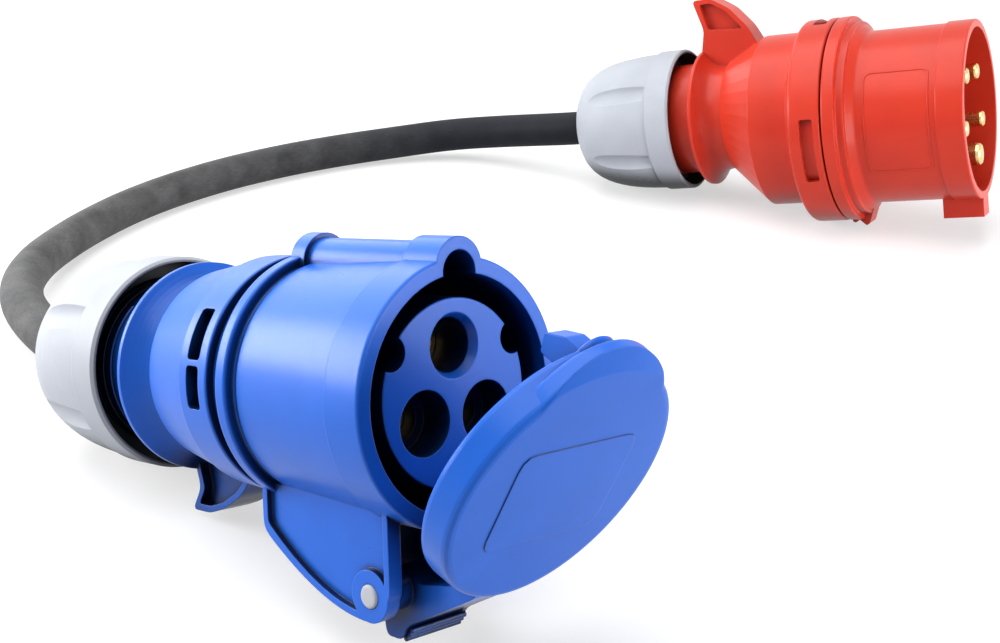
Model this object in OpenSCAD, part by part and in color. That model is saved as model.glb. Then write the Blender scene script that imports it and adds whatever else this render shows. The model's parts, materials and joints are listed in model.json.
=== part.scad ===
// Power adapter cable: a five-pin plug, a rubber cable and a three-pin connector socket with a hinged lid.
// Each connector is modelled on its own axis: front face at z = 0, rear towards -z, key side on the y axis.
// It is then laid on the floor. Lengths are in millimetres and angles in degrees.

/* [Socket barrel] */
// Outer radius of the front band
socket_r = 24.8; // [24:0.1:27]
// Wall around the mouth
socket_wall = 3; // [2.4:0.1:3.4]
// Length of the front band
socket_band = 9; // [6:0.5:12]
// Length from the front face to the back of the rear flange
socket_len = 41; // [38:0.5:46]
// Radius of the tapered barrel where it meets the rear groove
socket_tail_r = 23.1; // [22.8:0.1:24]
// Radius of the rear flange
socket_flange_r = 24.7; // [24.2:0.1:27]
// Thickness of the rear flange
socket_flange_t = 3; // [2:0.5:4]
// Outer radius of the spigot that the rear housing plugs onto
socket_spigot_r = 22.2; // [21.8:0.1:22.4]
// Gap that shows between the rear flange and the rear housing
socket_seam = 4; // [2:0.5:5]

/* [Socket key] */
// Distance from the axis to the top of the key rib
key_rib_top = 28.4; // [27.8:0.1:30]
// Radius of the key rib at its raised ends
key_rib_r = 5.6; // [5.2:0.1:6.5]
// Distance from the axis to the top of the keyway
keyway_top = 26; // [25:0.1:26.4]
// Radius of the keyway's round top
keyway_r = 4; // [3.5:0.1:4.2]
// Length of the raised cap at the rear of the key rib
key_cap = 4; // [3:0.5:6]

/* [Contact carrier] */
// Radius of the contact carrier
carrier_r = 17.4; // [17.2:0.1:17.8]
// Depth of the carrier's face behind the front face
carrier_recess = 1.9; // [1:0.1:3]
// Thickness of the carrier's rear flange
carrier_flange = 5; // [4:0.5:6]
// Diameter of the circle of contacts
contact_circle = 17.5; // [17:0.1:18]
// Radius of the contact openings in the face
opening_r = 6; // [5.5:0.1:6.2]
// Radius of the round notches in the carrier's sides
notch_r = 3.2; // [2.5:0.1:3.5]
// Angle of the notches from the key
notch_angle = 59.5; // [55:0.5:65]

/* [Contacts] */
// Radius of a line or neutral pin
line_pin_r = 2.5; // [2.4:0.05:2.6]
// Radius of an earth pin
earth_pin_r = 3.5; // [3.4:0.05:3.6]
// Radial clearance of a pin in its contact sleeve
pin_clearance = 0.05; // [0.02:0.01:0.1]
// Wall of a contact sleeve
sleeve_wall = 1.4; // [1.2:0.1:1.5]
// Depth of the sleeves' mouths behind the front face
sleeve_recess = 12; // [10:0.5:14]
// Side of a square terminal block
terminal_w = 8.4; // [7.6:0.2:8.6]
// Length of a terminal block
terminal_len = 12; // [11:0.5:13]

/* [Lid] */
// Radius of the lid
lid_r = 25.5; // [25.2:0.1:27]
// Distance from the front face to the lid's outer face when shut
lid_top = 6.8; // [6:0.1:8]
// Thickness of the lid's skin
lid_skin = 2.3; // [2:0.1:2.6]
// Gap between the shut lid and the front face
lid_gap = 0.4; // [0.3:0.1:0.6]
// Distance from the axis to the end of the finger lip
lip_top = 29.4; // [28.6:0.1:31]
// Angle at which the lid stands open
lid_open = 32; // [0:1:80]
// Width of the raised label panel
panel_w = 28.6; // [24:0.2:30]
// Height of the raised label panel
panel_h = 20.8; // [16:0.2:22]

/* [Lid hinge] */
// Distance of the hinge pin below the axis
hinge_drop = 35.6; // [35:0.1:38]
// Distance of the hinge pin behind the front face
hinge_back = 10.4; // [10:0.1:12]
// Radius of the hinge pin
hinge_pin_r = 2.3; // [2:0.05:2.6]
// Running clearance of the lid on the pin
hinge_clearance = 0.06; // [0.03:0.01:0.1]
// Distance from the middle plane to the outer face of a bracket plate
bracket_half = 14.7; // [14:0.1:15.5]
// Thickness of a bracket plate
plate_t = 3; // [2.6:0.1:3.4]
// Half width of the lid's knuckle and thumb lever
lever_half = 7.6; // [7:0.1:8]
// Reach of the thumb lever from the pin
lever_reach = 10; // [9:0.1:11]

/* [Plug shroud] */
// Outer radius of the shroud's front band
plug_r = 27.5; // [27.3:0.1:29]
// Length of the front band
plug_band = 8; // [6:0.5:10]
// Radius of the shroud behind the band
plug_body_r = 27; // [26.8:0.1:27.2]
// Wall of the shroud
plug_wall = 2; // [1.8:0.1:2.4]
// Length from the front face to the back of the rear flange
plug_len = 41; // [40:0.5:44]
// Radius of the rear flange
plug_flange_r = 32.2; // [31.8:0.1:33]
// Gap between the rear flange and the rear housing
plug_seam = 0.4; // [0.3:0.1:1.2]
// Diameter of the circle of pins
pin_circle = 27.5; // [26.5:0.1:28]
// Depth of the line pins' tips behind the front face
pin_recess = 1.5; // [1:0.1:3]
// Distance from the axis to the outside of the key block
plug_key_top = 32.8; // [31:0.1:33.5]
// Width of the key block
plug_key_w = 8; // [6:0.2:10]
// Length of the key block
plug_key_len = 12.3; // [10:0.1:14]
// Distance from the axis to the point of the catch nose
nose_top = 34; // [33.6:0.1:35]

/* [Rear housings] */
// Radius of the socket's window ring
ring_r = 23.9; // [23.8:0.1:25]
// Length of the socket's window ring
ring_len = 9.5; // [9:0.5:11]
// Distance from the socket's front face to the back of its collar
socket_collar_back = 78.6; // [77:0.1:81]
// Radius of the plug's window ring
plug_ring_r = 32.2; // [31.8:0.1:33]
// Length of the plug's window ring
plug_ring_len = 10; // [9:0.5:11]
// Radius of the plug's rear body
plug_rear_r = 27.4; // [27:0.1:28.4]
// Length of the plug's rear body behind its window ring
plug_rear_len = 14; // [12:0.5:16]
// Distance from the plug's front face to the back of its collar
plug_collar_back = 87; // [86:0.1:90]
// Offset of the plug's gland axis towards its finger rest
gland_offset = 4; // [3:0.1:4.5]
// Offset of the socket's gland axis towards its finger rest
socket_gland_offset = 0.8; // [0:0.1:1.2]
// Radius of the collars
collar_r = 22.2; // [21.5:0.1:23]
// Thickness of the housing walls
housing_wall = 2.2; // [2:0.1:2.6]
// Height of the socket's finger rest above its collar
socket_fin_h = 8.6; // [7:0.1:9.5]
// Height of the plug's finger rest above its collar
plug_fin_h = 16.4; // [12:0.1:18]
// Thickness of the finger rests
fin_t = 9; // [7:0.2:11]

/* [Glands] */
// Radius of the threaded necks
neck_r = 18; // [17:0.1:18.4]
// Length of the threaded necks
neck_len = 21.4; // [20:0.2:23]
// Radius of the gland nuts' front band
nut_r = 23.1; // [22.6:0.1:24]
// Length of the gland nuts
nut_len = 38; // [36:0.2:40]
// Length of the gland nuts' front band
nut_band = 8; // [7:0.2:9]
// Gap between the socket's collar and its gland nut
socket_nut_gap = 8.6; // [6.6:0.1:9]
// Gap between the plug's collar and its gland nut
plug_nut_gap = 6.8; // [6.6:0.1:9]
// Number of grip flutes round a gland nut
nut_flutes = 6; // [4:1:8]
// Depth of the grip flutes
flute_depth = 1; // [0.6:0.1:1.4]

/* [Cable] */
// Diameter of the cable
cable_d = 11.4; // [10:0.1:11.6]
// Diameter of an insulated core
core_d = 3.2; // [2.8:0.1:3.4]

/* [Hidden] */
$fn = 96;

// Small values shared by many pieces
eps = 0.01;
over = 1;
fit_gap = 0.1;
free_gap = 0.4;
edge = 0.6;
press_gap = 0.02;
screw_gap = 0.05;
hull_sides = 40;
// The pair is moved so that the box around it, without the cable, is centred on the origin
centring = [0.85, -4.07, 0];
// Where each connector lies: its front centre, the way its axis points, its rise to the front and its roll
socket_pos = [-35.6, -118, 49.2] + centring;
socket_heading = -42.7;
socket_tilt = 13.4;
socket_roll = -11.9;
plug_pos = [118.6, 90.9, 41.85] + centring;
plug_heading = -26;
plug_tilt = 11.7;
plug_roll = -7.8;

// Socket, worked out
socket_in = socket_r - socket_wall;
band_step = 0.5;
rear_groove_w = 1.5;
rear_groove_d = 0.7;
spigot_in = socket_spigot_r - 1.5;
spigot_len = socket_seam + 2.5;
spigot_back = socket_len + spigot_len;
seat_lip = 1.4;
seat_z = socket_len - carrier_flange - 1;
rib_y = key_rib_top - key_rib_r;
rib_thin_r = key_rib_r - 1;
keyway_y = keyway_top - keyway_r;
carrier_flange_r = spigot_in - fit_gap;
carrier_back = seat_z + carrier_flange;
contact_r = contact_circle / 2;
opening_depth = 7;
earth_chamfer = 1.8;
line_sleeve_r = line_pin_r + pin_clearance + sleeve_wall;
earth_sleeve_r = earth_pin_r + pin_clearance + sleeve_wall;
terminal_screw_r = 1.5;
screw_head_r = 2.5;
screw_head_t = 2;
core_gap = 0.15;
core_hole_r = core_d / 2 + core_gap;
core_stop = 3;
slot_w = 0.6;
slot_depth = 0.9;
screw_reach = core_hole_r + 0.2;
ring_front = socket_len + socket_seam;
ring_back = ring_front + ring_len;
window_inset = 2.6;
window_len = 4.2;
window_corner = 0.9;
// Windows as [angle, span]
socket_windows = [[64.6, 25.2], [90.3, 20.2], [-64.6, 25.2], [-90.3, 20.2]];
plug_windows = [[101, 36], [-101, 36], [0, 32]];
plug_window_depth = 1.8;
plug_window_inset = 2.2;
seal_w = 1.2;
seal_t = 0.9;

// Lid and hinge, worked out
lid_y = 1;
lid_wall = 2.2;
lid_floor = lid_top - lid_skin;
lip_r = 17.5;
lip_t = 3.9;
bevel_r = 29.9;
bevel_y = -4.5;
bevel_w = 9;
bevel_drop = 3.4;
lug_half = 2.4;
lug_t = 5.4;
lug_len = 8.2;
hinge_y = -hinge_drop;
hinge_z = -hinge_back;
boss_r = 4.9;
knuckle_r = 4.4;
plate_in = bracket_half - plate_t;
plate_front = hinge_back - boss_r - 0.6;
web_recess = 1.2;
border_w = 1.4;
bracket_belly = 13.6;
bracket_corner = 7.8;
bracket_steps = 8;
panel_rise = 0.22;
lid_draft = 0.8;
hump_top_r = key_rib_r - 1.6;
hump_foot_r = key_rib_r + 0.2;
lug_under = 1.1;
seal_set = 0.3;
seal_in = socket_in - 1.6;
seal_out = socket_in + 0.2;
lug_slot = lug_half + 0.5;
hinge_pin_set = 0.5;

// Plug, worked out
plug_in = plug_r - plug_wall - 0.4;
plug_flange_t = 4;
plug_step = 1.9;
plug_carrier_z = plug_len - plug_flange_t;
plug_spigot_r = 29.2;
plug_spigot_len = plug_seam + 4.5;
plug_spigot_in = plug_spigot_r - 1.8;
plug_carrier_r = plug_spigot_in - fit_gap;
plug_step_r = plug_flange_r - plug_step;
pin_r_at = pin_circle / 2;
pin_shank = 0.4;
earth_lead = 1.3;
pin_round = 0.8;
plug_fall = 2.4;
plug_ring_front = plug_len + plug_seam;
plug_ring_back = plug_ring_front + plug_ring_len;
plug_rear_y = 1.4;
plug_cavity_r = plug_rear_r - housing_wall - plug_rear_y;
plug_spigot_back = plug_len + plug_spigot_len;
plug_seal_back = plug_ring_front + 2 * seal_w;
plug_shoulder = plug_ring_back + plug_rear_len;
plug_waist_z = plug_collar_back - 9.6;
nose_half = 4;

// Glands, worked out
throat_r = 17.4;
throat_z = 9.6;
collar_t = 1;
flare_power = 2.4;
fin_border = 1.5;
neck_bore_r = 13;
neck_cavity_r = 14.4;
neck_step = 7;
neck_step_t = 2;
neck_hole_r = 9;
nut_clearance = 0.35;
nut_skirt = 7;
nut_rim = 1.1;
flute_r = 4;
nut_skirt_r = nut_r - nut_rim;
nut_hole_r = cable_d / 2 + 0.8;
nut_dome_r = nut_r - 0.6;
nut_cone_front = 20;
nut_cone_back = 32;
cage_gap = 0.4;
cage_ring_r = 15.5;
cage_slots = 8;
cage_slot_w = 1.6;
cage_bore_r = cable_d / 2 + 0.6;
cage_tip_r = nut_hole_r + 1.2;
seal_bore_r = cable_d / 2 + 0.04;
nut_exit = 2;
cable_straight = 9;
seal_len = neck_len - neck_step - neck_step_t;
cable_end = neck_step - 2;

// Cable route on the floor, from the socket's gland to the plug's gland.
// The two ends follow their gland axes; the points between are chosen along the floor.
lay = cable_d / 2 + 0.2;
route_mid = [
    [-139.5, -20, 15.4],
    [-149.5, -4, 14],
    [-157, 13, 12],
    [-161.8, 31, 9.8],
    [-163.4, 50, 7.8],
    [-161.6, 68, 6.4],
    [-156.5, 86, lay],
    [-148, 104, lay],
    [-136.5, 121, lay],
    [-122, 137, lay],
    [-105, 151, lay],
    [-87, 162.5, lay],
    [-68, 170, 6.6],
    [-48, 172, 8.8],
    [-30, 166.5, 11.8]
];
cable_sides = 12;
core_sides = 8;

// Colours
blue_plastic = [0.10, 0.27, 0.75];
red_plastic = [0.88, 0.18, 0.10];
grey_plastic = [0.78, 0.80, 0.82];
black_rubber = [0.08, 0.08, 0.09];
brass = [0.83, 0.66, 0.32];
steel = [0.72, 0.72, 0.74];
pale_pin = [0.90, 0.88, 0.82];

// Outline with every corner off the axis rounded by a short curve
function soft(points, radius, steps = 3) = [
    for (i = [0 : len(points) - 1])
        let (
            here = points[i],
            before = points[(i + len(points) - 1) % len(points)] - here,
            after = points[(i + 1) % len(points)] - here,
            cut = min(radius, 0.45 * norm(before), 0.45 * norm(after))
        )
        for (j = [0 : here[0] == 0 ? 0 : steps])
            here[0] == 0
                ? here
                : here + cut * (pow(1 - j / steps, 2) * unit(before) + pow(j / steps, 2) * unit(after))
];

// Point on a circle, measured from the y axis towards -x
function around(radius, angle) = [-radius * sin(angle), radius * cos(angle), 0];

// Position of a point of a connector's own frame on the floor
function turn_x(p, a) = [p[0], p[1] * cos(a) - p[2] * sin(a), p[1] * sin(a) + p[2] * cos(a)];
function turn_y(p, a) = [p[0] * cos(a) + p[2] * sin(a), p[1], -p[0] * sin(a) + p[2] * cos(a)];
function turn_z(p, a) = [p[0] * cos(a) - p[1] * sin(a), p[0] * sin(a) + p[1] * cos(a), p[2]];
function laid(p, pos, heading, tilt, roll) =
    pos + turn_z(turn_y(turn_x([p[2], p[0], p[1]], roll), -tilt), heading);
function on_socket(p) = laid(p, socket_pos, socket_heading, socket_tilt, socket_roll);
function on_plug(p) = laid(p, plug_pos, plug_heading, plug_tilt, plug_roll);

// Smooth curve through a list of points, and one ring of a tube on it
function curve_point(p, i, t) =
    let (
        n = len(p) - 1,
        a = p[max(i - 1, 0)],
        b = p[i],
        c = p[min(i + 1, n)],
        d = p[min(i + 2, n)]
    )
    0.5 * (2 * b + (c - a) * t + (2 * a - 5 * b + 4 * c - d) * t * t + (3 * b - a - 3 * c + d) * t * t * t);
function curve(p, steps) = concat(
    [for (i = [0 : len(p) - 2]) for (j = [0 : steps - 1]) curve_point(p, i, j / steps)],
    [p[len(p) - 1]]
);
function unit(v) = v / norm(v);
function heading_at(p, i) = unit(p[min(i + 1, len(p) - 1)] - p[max(i - 1, 0)]);
function tube_ring(centre, dir, radius, sides, up) =
    let (side = unit(cross(up, dir)), top = cross(dir, side))
    [
        for (k = [0 : sides - 1])
            let (turn = 360 * k / sides)
            centre + radius * (cos(turn) * side + sin(turn) * top)
    ];

// Round tube swept along a path as one closed solid
module sweep(path, radius, sides, up = [0, 0, 1]) {
    rings = len(path);
    points = [
        for (i = [0 : rings - 1])
            for (q = tube_ring(path[i], heading_at(path, i), radius, sides, up)) q
    ];
    walls = [
        for (i = [0 : rings - 2])
            for (k = [0 : sides - 1])
                let (m = (k + 1) % sides, low = i * sides, high = (i + 1) * sides)
                for (f = [[low + k, low + m, high + m], [low + k, high + m, high + k]]) f
    ];
    back_cap = [[for (k = [0 : sides - 1]) sides - 1 - k]];
    front_cap = [[for (k = [0 : sides - 1]) (rings - 1) * sides + k]];
    faces = concat(walls, back_cap, front_cap);
    polyhedron(points, [for (f = faces) [for (k = [len(f) - 1 : -1 : 0]) f[k]]]);
}

// Placing of the two connectors
module in_socket() {
    translate(socket_pos)
        rotate([0, 0, socket_heading])
            rotate([0, -socket_tilt, 0])
                rotate([socket_roll, 0, 0])
                    rotate([90, 0, 90])
                        children();
}

module in_plug() {
    translate(plug_pos)
        rotate([0, 0, plug_heading])
            rotate([0, -plug_tilt, 0])
                rotate([plug_roll, 0, 0])
                    rotate([90, 0, 90])
                        children();
}

module socket_gland() {
    translate([0, -socket_gland_offset, -socket_collar_back]) children();
}

module plug_gland() {
    translate([0, gland_offset, -plug_collar_back]) children();
}

// Shared shapes
module turned(points, radius = edge) {
    rotate_extrude() polygon(soft(points, radius));
}

module disc(radius, front, back) {
    translate([0, 0, -back]) cylinder(r = radius, h = back - front);
}

// Plate whose outline is given as [z, y], centred on the middle plane
module plate(points, thickness, radius = edge) {
    rotate([0, -90, 0])
        linear_extrude(thickness, center = true)
            polygon(soft(points, radius));
}

// Window cut through a ring, at an angle from the y axis towards -x
module window(radius, front, span, angle) {
    half = radius * sin(span / 2);
    back = front + window_len;
    rotate([0, 0, angle])
        rotate([-90, 0, 0])
            linear_extrude(radius + over)
                polygon(soft([[-half, front], [half, front], [half, back], [-half, back]], window_corner));
}

// Socket barrel: mouth, key rib, rear flange and hinge bracket in one moulding
module barrel_outline() {
    groove_z = socket_len - socket_flange_t - rear_groove_w;
    turned([
        [socket_in - over, 0],
        [socket_r, 0],
        [socket_r, -socket_band],
        [socket_r - band_step, -socket_band],
        [socket_tail_r, -groove_z],
        [socket_tail_r - rear_groove_d, -groove_z],
        [socket_tail_r - rear_groove_d, -groove_z - rear_groove_w],
        [socket_flange_r, -groove_z - rear_groove_w],
        [socket_flange_r, -socket_len],
        [socket_spigot_r, -socket_len],
        [socket_spigot_r, -socket_len - spigot_len],
        [socket_in - over - seat_lip, -socket_len - spigot_len]
    ]);
    translate([0, rib_y, 0]) {
        disc(key_rib_r, 0, socket_band);
        disc(rib_thin_r, socket_band - over, socket_len - over);
        disc(key_rib_r, socket_len - key_cap, socket_len);
    }
}

module barrel_bore() {
    disc(socket_in, -over, seat_z - seat_lip);
    disc(spigot_in - seat_lip, -over, socket_len);
    disc(spigot_in, seat_z, socket_len + spigot_len + over);
    hull() {
        translate([0, keyway_y, 0]) disc(keyway_r, -over, seat_z - seat_lip, $fn = hull_sides);
        disc(keyway_r, -over, seat_z - seat_lip, $fn = hull_sides);
    }
}

// Lower edge of a bracket plate as [z, y]: one curve from the boss to the rear corner
function bracket_edge(border, t) =
    pow(1 - t, 2) * [hinge_z, hinge_y - boss_r + border]
    + 2 * t * (1 - t) * [hinge_z - bracket_belly, hinge_y - boss_r + border]
    + t * t * [-socket_len + border, hinge_y + bracket_corner + border];

// Outline of a bracket plate as [z, y], taken in by a border
function bracket_outline(border) = concat(
    [
        [-plate_front - border, -socket_in + plate_t],
        [-plate_front - border, hinge_y - border / 2]
    ],
    [for (k = [0 : bracket_steps]) bracket_edge(border, k / bracket_steps)],
    [[-socket_len + border, -socket_in + plate_t]]
);

module bracket_plate(side) {
    translate([side * (bracket_half - plate_t / 2), 0, 0])
        difference() {
            union() {
                difference() {
                    plate(bracket_outline(0), plate_t, 2);
                    translate([side * (plate_t - web_recess), 0, 0])
                        plate(bracket_outline(border_w), plate_t, 1);
                }
                translate([0, hinge_y, hinge_z])
                    rotate([0, 90, 0])
                        cylinder(r = boss_r, h = plate_t, center = true);
            }
            translate([0, hinge_y, hinge_z])
                rotate([0, 90, 0])
                    cylinder(r = hinge_pin_r, h = plate_t + over, center = true);
        }
}

// Cross wall between the bracket plates, clear of the thumb lever when the lid is wide open
module bracket_wall() {
    wall_front = hinge_back + lever_reach + 1.6;
    translate([-plate_in - eps, hinge_y - 0.8, -wall_front - web_recess - over])
        cube([2 * plate_in + 2 * eps, hinge_drop - socket_in + over, web_recess + over]);
}

module socket_barrel() {
    color(blue_plastic)
        in_socket()
            difference() {
                union() {
                    barrel_outline();
                    for (side = [-1, 1])
                        bracket_plate(side);
                    bracket_wall();
                }
                barrel_bore();
            }
}

// Contact carrier: round column with three openings, on a flange that seats in the barrel
contact_angles = [120, 240, 0];

module sleeve_hole(angle, sleeve_r) {
    translate(around(contact_r, angle)) {
        disc(sleeve_r + fit_gap, 0, carrier_back + over);
        children();
    }
}

// Line and neutral contacts lie behind round openings, the earth contact behind a wide chamfer
module line_hole(angle) {
    sleeve_hole(angle, line_sleeve_r) disc(opening_r, 0, carrier_recess + opening_depth);
}

module earth_hole(angle) {
    sleeve_hole(angle, earth_sleeve_r)
        translate([0, 0, -carrier_recess - earth_chamfer])
            cylinder(r1 = earth_sleeve_r, r2 = opening_r, h = earth_chamfer);
}

module contact_carrier() {
    color(blue_plastic)
        in_socket()
            difference() {
                turned([
                    [0, -carrier_recess],
                    [carrier_r, -carrier_recess],
                    [carrier_r, -seat_z],
                    [carrier_flange_r, -seat_z],
                    [carrier_flange_r, -carrier_back],
                    [0, -carrier_back]
                ], 0.4);
                line_hole(contact_angles[0]);
                line_hole(contact_angles[1]);
                earth_hole(contact_angles[2]);
                for (side = [-1, 1])
                    translate(around(carrier_r, side * notch_angle))
                        disc(notch_r, 0, seat_z);
            }
}

// Contact: a sleeve for the pin and a square terminal behind the carrier, clamped by one screw
module contact(angle, pin_r, sleeve_r) {
    block_front = carrier_back;
    block_back = carrier_back + terminal_len;
    difference() {
        translate(around(contact_r, angle)) {
            disc(sleeve_r, sleeve_recess, block_front + eps);
            translate([-terminal_w / 2, -terminal_w / 2, -block_back])
                cube([terminal_w, terminal_w, terminal_len]);
        }
        translate(around(contact_r, angle)) {
            disc(pin_r + pin_clearance, 0, block_front - over);
            disc(core_hole_r, block_front + core_stop, block_back + over);
        }
        terminal_screw_place(angle)
            cylinder(r = terminal_screw_r + screw_gap, h = terminal_w);
    }
}

// Screw of a terminal: it enters from the side away from the other contacts
module terminal_screw_place(angle) {
    side = angle == 0 ? 0 : (angle < 180 ? 90 : 270);
    translate(around(contact_r, angle) + [0, 0, -carrier_back - terminal_len / 2])
        rotate([0, 0, side])
            rotate([-90, 0, 0])
                children();
}

module cross_head_screw(reach) {
    difference() {
        union() {
            cylinder(r = terminal_screw_r, h = terminal_w / 2 + eps);
            translate([0, 0, terminal_w / 2]) cylinder(r = screw_head_r, h = screw_head_t);
        }
        for (turn = [0, 90])
            rotate([0, 0, turn])
                translate([-screw_head_r, -slot_w / 2, terminal_w / 2 + screw_head_t - slot_depth])
                    cube([2 * screw_head_r, slot_w, screw_head_t]);
        disc(terminal_screw_r + over, -reach, over);
    }
}

module socket_line_contact() {
    color(brass) in_socket() contact(contact_angles[0], line_pin_r, line_sleeve_r);
}

module socket_neutral_contact() {
    color(brass) in_socket() contact(contact_angles[1], line_pin_r, line_sleeve_r);
}

module socket_earth_contact() {
    color(brass) in_socket() contact(contact_angles[2], earth_pin_r, earth_sleeve_r);
}

module socket_terminal_screws() {
    color(steel)
        in_socket()
            for (angle = contact_angles)
                terminal_screw_place(angle) cross_head_screw(screw_reach);
}

// Lid: drawn shut and then swung open about the hinge pin
module swung() {
    translate([0, hinge_y, hinge_z])
        rotate([lid_open, 0, 0])
            translate([0, -hinge_y, -hinge_z])
                children();
}

module lid_dish() {
    translate([0, lid_y, 0])
        turned([
            [0, lid_top],
            [lid_r - lid_draft, lid_top],
            [lid_r, lid_gap],
            [0, lid_gap]
        ], 1.2);
    translate([0, rib_y, 0])
        turned([
            [0, lid_top - lip_t / 2],
            [hump_top_r, lid_top - lip_t / 2],
            [hump_foot_r, lid_gap],
            [0, lid_gap]
        ], 1);
    translate([0, lip_top - lip_r, 0])
        turned([
            [0, lid_top],
            [lip_r, lid_top],
            [lip_r, lid_top - lip_t],
            [0, lid_top - lip_t]
        ], 0.8);
}

// Sloping crescent that takes the lip's face back towards its edge
module lid_bevel() {
    translate([0, bevel_y, 0])
        rotate_extrude()
            polygon([
                [bevel_r, lid_top],
                [bevel_r + bevel_w, lid_top - bevel_drop],
                [bevel_r + bevel_w, lid_top + over],
                [bevel_r, lid_top + over]
            ]);
}

module lid_hollow() {
    translate([0, lid_y, 0]) disc(lid_r - lid_wall, -lid_floor, over);
}

// Catch lug: enters the keyway of the shut socket and holds a plug by its nose
module lid_lug() {
    lug_top = keyway_top - lug_under;
    plate([
        [lid_floor + eps, lug_top],
        [-lug_len / 2, lug_top],
        [-lug_len, lug_top - 2],
        [-lug_len + 0.8, lug_top - lug_t],
        [lid_floor + eps, lug_top - lug_t]
    ], 2 * lug_half, 0.4);
}

// Arm, knuckle and ribbed thumb lever in the middle of the hinge, outline as [z, y]
module lid_arm() {
    plate([
        [lid_top - 1.2, lid_y - lid_r + 6],
        [lid_top - 1.4, lid_y - lid_r + 0.7],
        [hinge_z + 5.1, hinge_y - lever_reach / 2],
        [hinge_z + 5.6, hinge_y - lever_reach + 2],
        [hinge_z + 2, hinge_y - lever_reach],
        [hinge_z + 0.4, hinge_y - lever_reach + 1.4],
        [hinge_z - 2.6, hinge_y - knuckle_r + 0.8],
        [hinge_z - knuckle_r, hinge_y],
        [hinge_z - 2.6, hinge_y + knuckle_r - 0.8],
        [hinge_z + 4, hinge_y + knuckle_r],
        [lid_gap, lid_y - lid_r - 0.9],
        [lid_gap, lid_y - lid_r + 6]
    ], 2 * lever_half, 1.4);
}

// Spacer on the knuckle that fills the hinge on the side without the spring
module lid_spacer() {
    translate([-plate_in + free_gap, hinge_y, hinge_z])
        rotate([0, 90, 0])
            cylinder(r = knuckle_r - edge, h = plate_in - free_gap);
}

module lid_pin_hole() {
    translate([0, hinge_y, hinge_z])
        rotate([0, 90, 0])
            cylinder(r = hinge_pin_r + hinge_clearance, h = 2 * bracket_half, center = true);
}

module lid_panel() {
    translate([0, 0, lid_top - eps])
        linear_extrude(panel_rise)
            polygon(soft([
                [-panel_w / 2, -panel_h / 2],
                [panel_w / 2, -panel_h / 2],
                [panel_w / 2, panel_h / 2],
                [-panel_w / 2, panel_h / 2]
            ], 3));
}

module lid() {
    color(blue_plastic)
        in_socket()
            swung() {
                difference() {
                    union() {
                        lid_dish();
                        lid_arm();
                        lid_spacer();
                    }
                    lid_bevel();
                    lid_hollow();
                    lid_pin_hole();
                }
                lid_lug();
                lid_panel();
            }
}

module lid_seal() {
    color(black_rubber)
        in_socket()
            swung()
                difference() {
                    disc(seal_out, -lid_floor, -lid_gap - seal_set);
                    disc(seal_in, -lid_floor - over, over);
                    translate([-lug_slot, 0, -over]) cube([2 * lug_slot, socket_r, lid_top + over]);
                }
}

module hinge_pin() {
    color(pale_pin)
        in_socket()
            translate([-bracket_half - hinge_pin_set, hinge_y, hinge_z])
                rotate([0, 90, 0])
                    turned([
                        [0, 0],
                        [hinge_pin_r - press_gap, 0],
                        [hinge_pin_r - press_gap, 2 * bracket_half],
                        [0, 2 * bracket_half]
                    ], 0.8);
}

// Torsion spring round the pin, beside the knuckle, with one leg on the bracket and one on the lid's arm
spring_wire_r = 0.4;
spring_r = hinge_pin_r + 1.2;
spring_pitch = 1;
spring_turns = 2;
spring_steps = 12;
spring_leg = 9;
spring_start = 200;

function coil_point(i) =
    let (
        a = 360 * i / spring_steps + spring_start,
        x = lever_half + 2 * spring_wire_r + spring_pitch * i / spring_steps
    )
    [x, hinge_y + spring_r * cos(a), hinge_z + spring_r * sin(a)];

module lid_spring() {
    coil = [for (i = [0 : spring_turns * spring_steps]) coil_point(i)];
    last = coil[len(coil) - 1];
    leg_dir = unit(last - coil[len(coil) - 2]);
    leg = [for (t = [0.5, 1]) last + t * spring_leg * leg_dir];
    path = [for (p = concat(coil, leg)) on_socket(p)];
    color(steel) sweep(path, spring_wire_r, core_sides, on_socket([1, 0, 0]) - on_socket([0, 0, 0]));
}

// Rear housing of either connector, drawn in the frame of its gland: z = 0 at the back of the collar
module gland_neck() {
    flare_steps = 10;
    flare_len = throat_z - collar_t - 2;
    flare = [
        for (k = [0 : flare_steps])
            let (t = k / flare_steps)
            [throat_r + (collar_r - throat_r) * pow(1 - t, flare_power), collar_t + flare_len * t]
    ];
    rotate_extrude()
        polygon(concat(
            [
                [0, -neck_len],
                [neck_r - edge, -neck_len],
                [neck_r, -neck_len + edge],
                [neck_r, 0],
                [collar_r, 0]
            ],
            flare,
            [[throat_r, throat_z + eps], [0, throat_z + eps]]
        ));
}

module gland_bore() {
    disc(neck_cavity_r, -throat_z - over, neck_step);
    disc(neck_hole_r, -over, neck_len);
    disc(neck_bore_r, neck_step + neck_step_t, neck_len + over);
}

// Upper edge of a finger rest as [z, y], taken in by an inset
function fin_upper(height, run, inset) = [
    [inset + 1.8, collar_r + 0.4 * height],
    [inset * 1.6 - 1.4, collar_r + height - inset],
    [5, collar_r + height - inset],
    [0.53 * run - inset * 0.6, collar_r + 0.78 * height - inset * 0.7],
    [0.8 * run - inset, collar_r + 0.4 * height - inset * 0.4]
];

function fin_outline(height, run, foot, inset) = concat(
    [[inset, foot], [inset + 0.4, collar_r - 1]],
    fin_upper(height, run, inset),
    [[run - inset, collar_r - 1], [run - inset, foot]]
);

// Finger rest above the collar; its sides are recessed inside a border, down to its foot or to a ledge
module fin(height, run, ledge) {
    foot = neck_cavity_r + over;
    recess = ledge ? fin_upper(height, run, fin_border) : fin_outline(height, run, foot, fin_border);
    difference() {
        plate(fin_outline(height, run, foot, 0), fin_t, 1.6);
        for (side = [-1, 1])
            translate([side * fin_t * 0.75, 0, 0])
                plate(recess, fin_t, 1);
    }
}

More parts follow.
